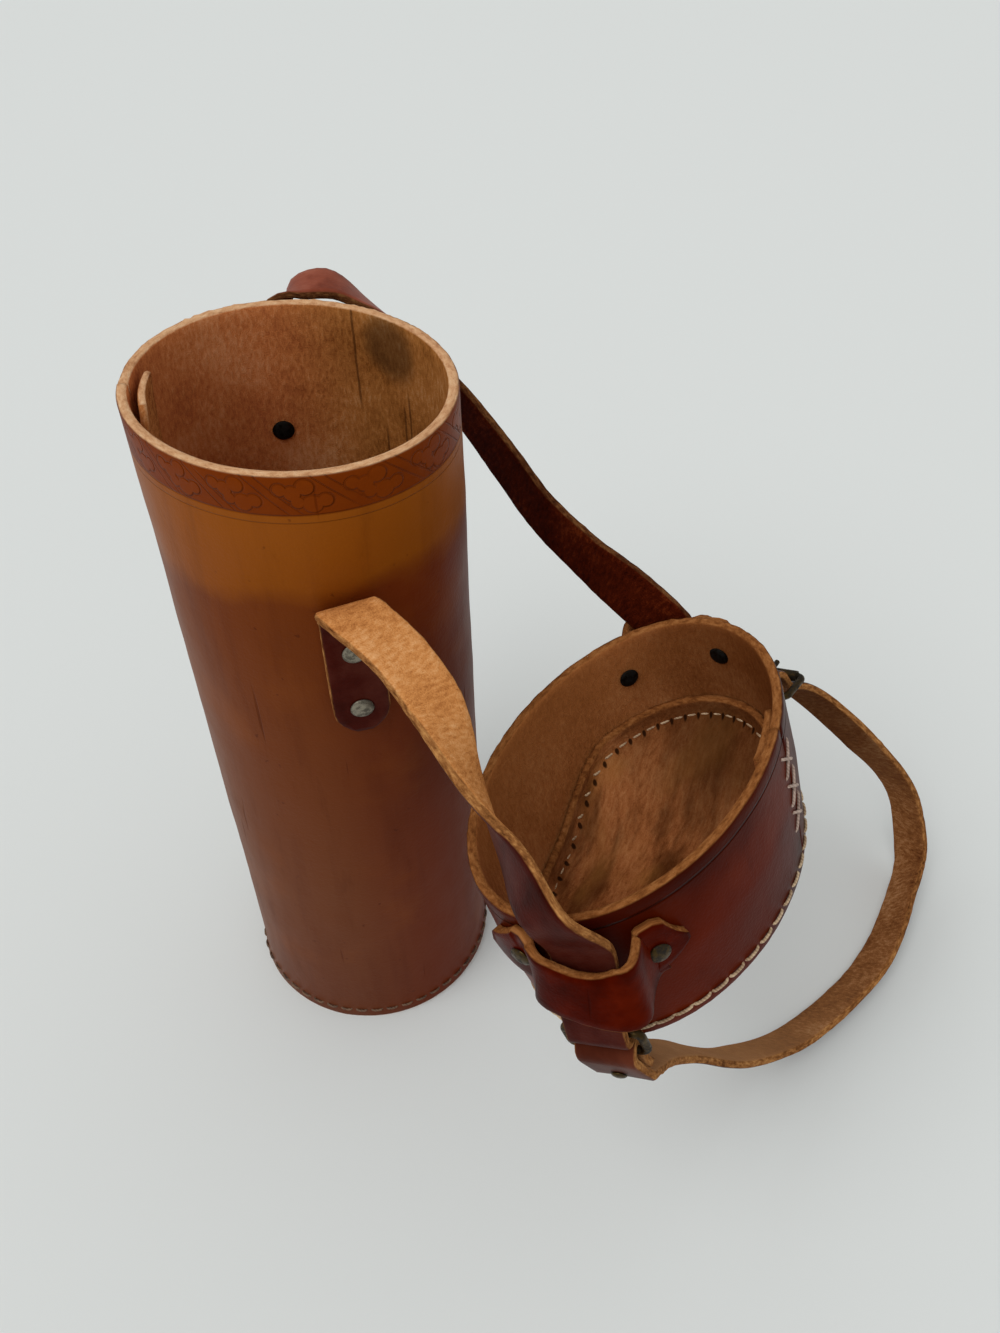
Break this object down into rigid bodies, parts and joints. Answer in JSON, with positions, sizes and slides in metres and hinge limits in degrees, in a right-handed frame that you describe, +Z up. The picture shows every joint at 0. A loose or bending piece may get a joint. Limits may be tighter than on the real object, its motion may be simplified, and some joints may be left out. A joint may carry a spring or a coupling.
{
  "type": "leather bottle carrier",
  "caption": "Upright leather tube that holds a bottle, with an oval cap that hangs open beside it on side straps joined by rings to a buckled shoulder strap.",
  "frame": {"origin": "centre of the tube's underside, on the surface it stands on", "axes": "+Z up along the tube, +X towards the hanging cap, +Y to the back strap"},
  "size_m": [0.3203, 0.2392, 0.295],
  "materials": {
    "tube_leather": "satin",
    "cap_leather": "satin",
    "strap_leather": "matte",
    "thread": "matte",
    "nickel": "satin",
    "dark_wire": "satin"
  },
  "bodies": {
    "tube": {"tube_wall": "tube_leather", "tube_base": "tube_leather", "tube_base_stitching": "thread", "tube_seam_backing": "tube_leather", "tube_seam_lacing": "thread", "front_strap_rivets": "nickel", "back_strap_rivets": "nickel"},
    "cap": {"cap_wall": "cap_leather", "cap_crown": "cap_leather", "cap_crown_stitching": "thread", "cap_seam_backing": "cap_leather", "cap_seam_lacing": "thread", "front_keeper": "cap_leather", "back_keeper": "cap_leather", "front_keeper_rivets": "dark_wire", "back_keeper_rivets": "dark_wire", "front_side_strap": "strap_leather", "back_side_strap": "strap_leather", "front_fold_rivet": "dark_wire", "back_fold_rivet": "dark_wire"},
    "front_link": {"front_ring": "dark_wire", "shoulder_fold_rivet": "dark_wire"},
    "back_link": {"back_ring": "dark_wire", "buckle_strap_ring_rivet": "dark_wire"},
    "shoulder": {"shoulder_strap": "strap_leather", "buckle_strap": "strap_leather", "buckle_strap_heel_rivet": "dark_wire"},
    "buckle": {"buckle_frame": "dark_wire"},
    "roller": {"buckle_roller": "dark_wire"},
    "prong": {"buckle_prong": "dark_wire"},
    "loop": {"strap_loop": "strap_leather"}
  },
  "joints": [
    {"name": "cap_swing", "type": "hinge", "parent": "tube", "child": "cap", "pos_m": [0.00725, 0.00125, 0.268], "axis": [0.1735, -0.9449, -0.2777], "range_deg": [0, 60], "deforming": ["front_side_strap", "back_side_strap"]},
    {"name": "front_ring_swing", "type": "hinge", "parent": "cap", "child": "front_link", "pos_m": [0.08931, -0.15103, 0.16826], "axis": [0.8999, -0.3126, 0.304], "range_deg": [-6, 3], "deforming": ["shoulder_strap"]},
    {"name": "back_ring_swing", "type": "hinge", "parent": "cap", "child": "back_link", "pos_m": [0.13597, -0.01647, 0.16804], "axis": [-0.7938, 0.5318, -0.2951], "range_deg": [-6, 6], "deforming": ["buckle_strap"]},
    {"name": "shoulder_swing", "type": "hinge", "parent": "cap", "child": "shoulder", "pos_m": [0.117, -0.08211, 0.15904], "axis": [-0.3327, -0.943, -0.0103], "range_deg": [0, 60], "deforming": ["shoulder_strap", "buckle_strap"]},
    {"name": "buckle_swing", "type": "hinge", "parent": "shoulder", "child": "buckle", "pos_m": [0.16869, 0.01406, 0.13503], "axis": [0.7938, -0.5318, 0.2951], "range_deg": [0, 10]},
    {"name": "roller_turn", "type": "hinge", "parent": "buckle", "child": "roller", "pos_m": [0.17849, 0.02741, 0.13271], "axis": [-0.7938, 0.5318, -0.2951], "continuous": true},
    {"name": "prong_lift", "type": "hinge", "parent": "buckle", "child": "prong", "pos_m": [0.16869, 0.01406, 0.13503], "axis": [0.7938, -0.5318, 0.2951], "range_deg": [0, 12]},
    {"name": "loop_slide", "type": "slide", "parent": "shoulder", "child": "loop", "axis": [0.5973, 0.5907, -0.5425], "range_m": [-0.004, 0.004]}
  ]
}
